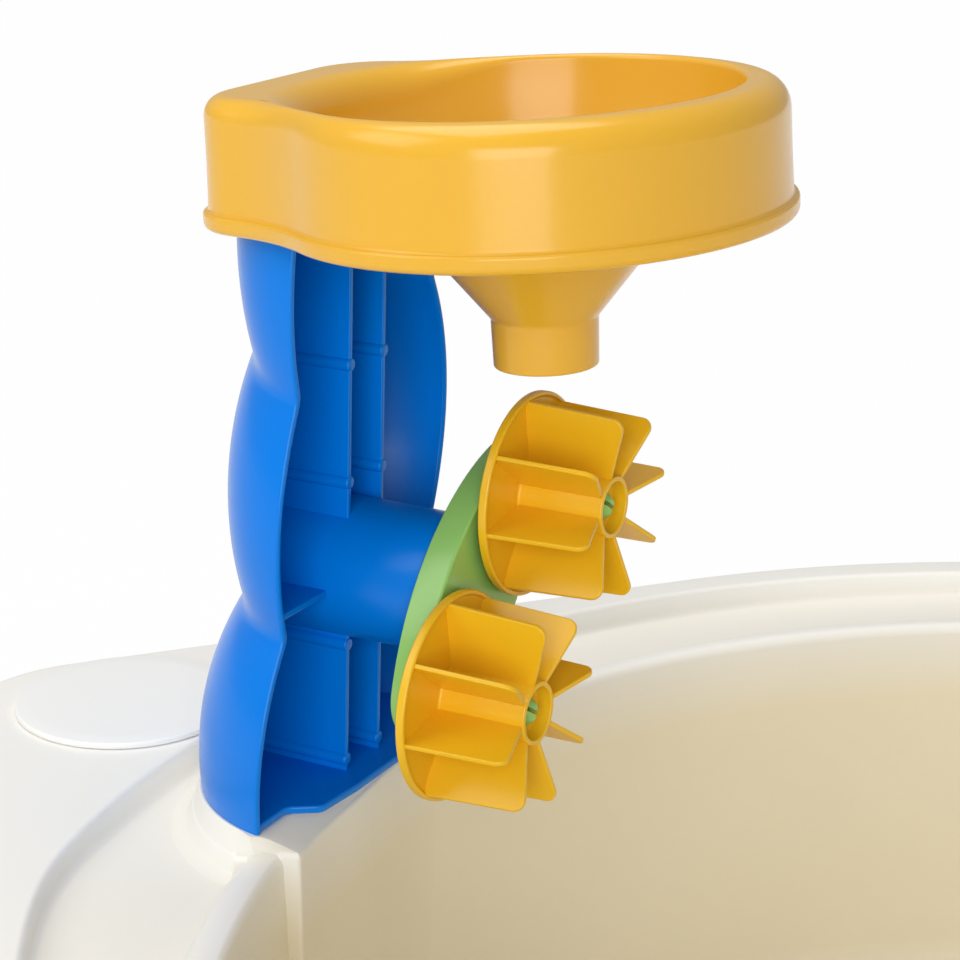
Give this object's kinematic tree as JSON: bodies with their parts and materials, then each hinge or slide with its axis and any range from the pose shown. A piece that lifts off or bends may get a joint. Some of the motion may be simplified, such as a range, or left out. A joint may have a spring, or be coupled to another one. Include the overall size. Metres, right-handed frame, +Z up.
{
  "type": "water table",
  "caption": "Round water table on legs with a ring channel, a tower that carries a funnel hopper, and a spinner arm with free-turning vaned water wheels.",
  "frame": {"origin": "on the floor, in the middle of the table's outline", "axes": "+Z up, +X along the spinner's axis from the tower out over the pool, +Y to the back"},
  "size_m": [0.9008, 0.796, 0.7015],
  "materials": {
    "cream_plastic": "satin moulded plastic",
    "cover_plastic": "satin moulded plastic",
    "leg_plastic": "satin moulded plastic",
    "plug_plastic": "smooth moulded plastic",
    "foot_rubber": "matt",
    "screw_steel": "bright zinc",
    "blue_plastic": "smooth moulded plastic",
    "yellow_plastic": "glossy moulded plastic",
    "orange_plastic": "smooth moulded plastic",
    "green_plastic": "smooth moulded plastic"
  },
  "bodies": {
    "table": {"basin": "cream_plastic", "leg_front_left": "leg_plastic", "leg_front_right": "leg_plastic", "leg_back_left": "leg_plastic", "leg_back_right": "leg_plastic", "leg_feet": "foot_rubber", "leg_screws": "screw_steel", "tower_shell": "blue_plastic", "tower_screws": "screw_steel", "hopper": "yellow_plastic", "hopper_screws": "screw_steel"},
    "spinner": {"spinner_arm": "green_plastic", "spindle_washer": "screw_steel", "spindle_screw": "screw_steel", "upper_axle_pin": "green_plastic", "lower_axle_pin": "green_plastic"},
    "wheel_upper": {"upper_wheel": "orange_plastic"},
    "wheel_lower": {"lower_wheel": "orange_plastic"},
    "cover": {"round_cover": "cover_plastic"},
    "plug": {"drain_plug": "plug_plastic"}
  },
  "joints": [
    {"name": "spinner_turn", "type": "hinge", "parent": "table", "child": "spinner", "pos_m": [-0.22245, 0, 0.5165], "axis": [1, 0, 0], "continuous": true},
    {"name": "upper_wheel_turn", "type": "hinge", "parent": "spinner", "child": "wheel_upper", "pos_m": [-0.2085, 0.02874, 0.54524], "axis": [1, 0, 0], "continuous": true},
    {"name": "lower_wheel_turn", "type": "hinge", "parent": "spinner", "child": "wheel_lower", "pos_m": [-0.2085, -0.02874, 0.48776], "axis": [1, 0, 0], "continuous": true},
    {"name": "cover_lift", "type": "slide", "parent": "table", "child": "cover", "axis": [0, 0, 1], "range_m": [0, 0.06]},
    {"name": "plug_pull", "type": "slide", "parent": "table", "child": "plug", "axis": [0, 0, 1], "range_m": [0, 0.05]}
  ]
}
